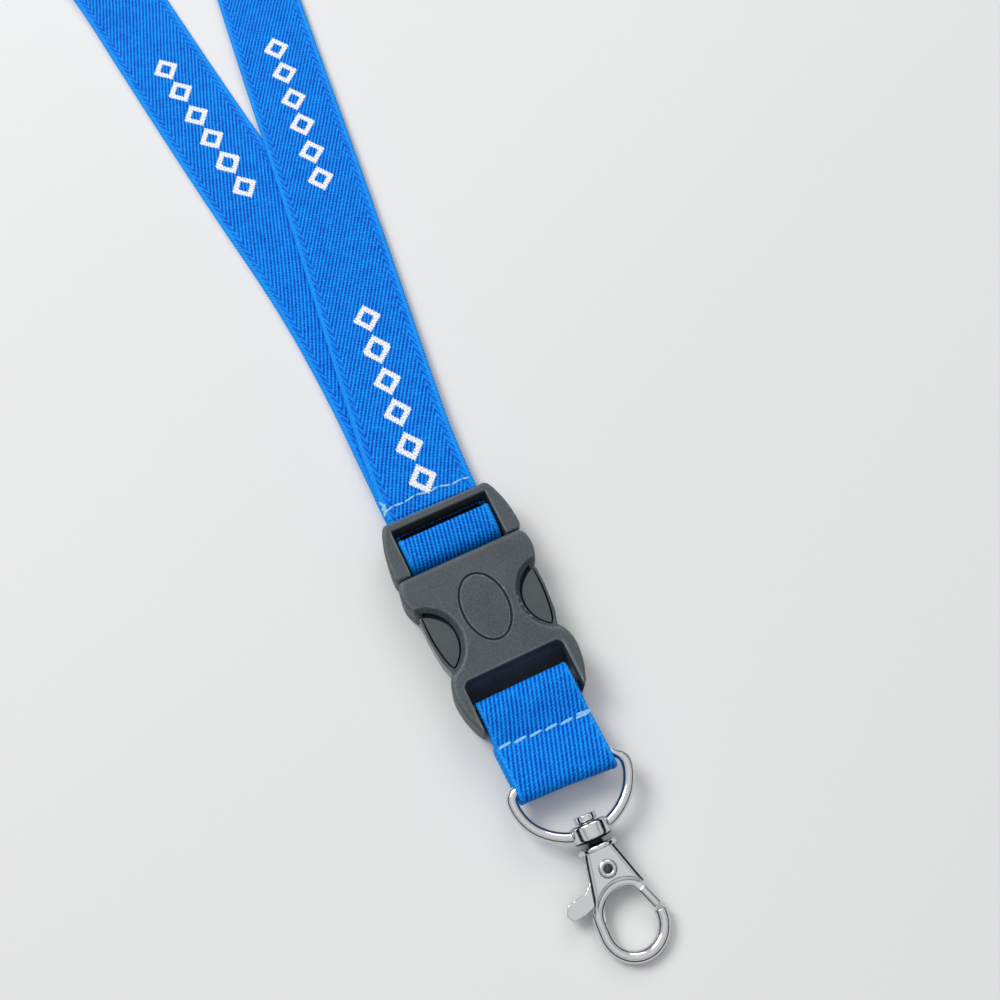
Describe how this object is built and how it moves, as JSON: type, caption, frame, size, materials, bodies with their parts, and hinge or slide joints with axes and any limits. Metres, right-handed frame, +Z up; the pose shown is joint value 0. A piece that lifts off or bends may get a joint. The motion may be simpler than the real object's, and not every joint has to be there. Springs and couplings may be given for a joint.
{
  "type": "lanyard badge holder",
  "caption": "Flat woven neck lanyard with a side-release buckle, a short lower webbing loop and a swivel trigger hook for a badge or keys.",
  "frame": {"origin": "middle of the buckle socket's flat underside, where the holder rests on a table", "axes": "+Z up from the table, +Y along the strap towards the nape, +X across the webbing; the hook is at -Y"},
  "size_m": [0.1354, 0.4864, 0.0201],
  "materials": {
    "webbing": "woven polyester twill",
    "thread": "polyester sewing thread",
    "acetal": "moulded, fine spark-eroded grain",
    "acetal_pad": "moulded, smooth",
    "plated_zinc": "nickel-plated zinc casting, polished",
    "steel": "plated steel"
  },
  "bodies": {
    "strap_half": {"neck_strap_right": "webbing", "neck_strap_nape": "webbing", "neck_strap_left": "webbing", "strap_end_fold": "webbing", "upper_seam": "thread", "buckle_plug": "acetal"},
    "left_prong": {"prong_left": "acetal_pad"},
    "right_prong": {"prong_right": "acetal_pad"},
    "socket_half": {"buckle_socket": "acetal", "lower_strap": "webbing", "lower_seam": "thread"},
    "ring": {"d_ring": "plated_zinc"},
    "hook": {"hook_body": "plated_zinc", "pivot_rivet": "steel", "gate_spring": "steel"},
    "gate": {"gate_lever": "plated_zinc"}
  },
  "joints": [
    {"name": "buckle_release", "type": "slide", "parent": "strap_half", "child": "socket_half", "axis": [0, -1, 0], "range_m": [0, 0.03], "deforming": ["prong_left", "prong_right"]},
    {"name": "left_prong_flex", "type": "hinge", "parent": "strap_half", "child": "left_prong", "pos_m": [-0.0102, 0.0105, 0.0045], "axis": [0, 0, 1], "range_deg": [0, 10], "stiffness_Nm_per_rad": 0.8},
    {"name": "right_prong_flex", "type": "hinge", "parent": "strap_half", "child": "right_prong", "pos_m": [0.0102, 0.0105, 0.0045], "axis": [0, 0, -1], "range_deg": [0, 10], "stiffness_Nm_per_rad": 0.8},
    {"name": "ring_swing", "type": "hinge", "parent": "socket_half", "child": "ring", "pos_m": [0.0001, -0.0323, 0.00575], "axis": [0.999, -0.0436, 0], "range_deg": [-95, 95]},
    {"name": "hook_swivel", "type": "hinge", "parent": "ring", "child": "hook", "pos_m": [-0.00042, -0.0441, 0.0043], "axis": [-0.0433, -0.9916, -0.1219], "continuous": true},
    {"name": "gate_open", "type": "hinge", "parent": "hook", "child": "gate", "pos_m": [-0.00073, -0.05124, 0.00342], "axis": [0.0053, 0.1218, -0.9925], "range_deg": [0, 22], "stiffness_Nm_per_rad": 0.08}
  ]
}
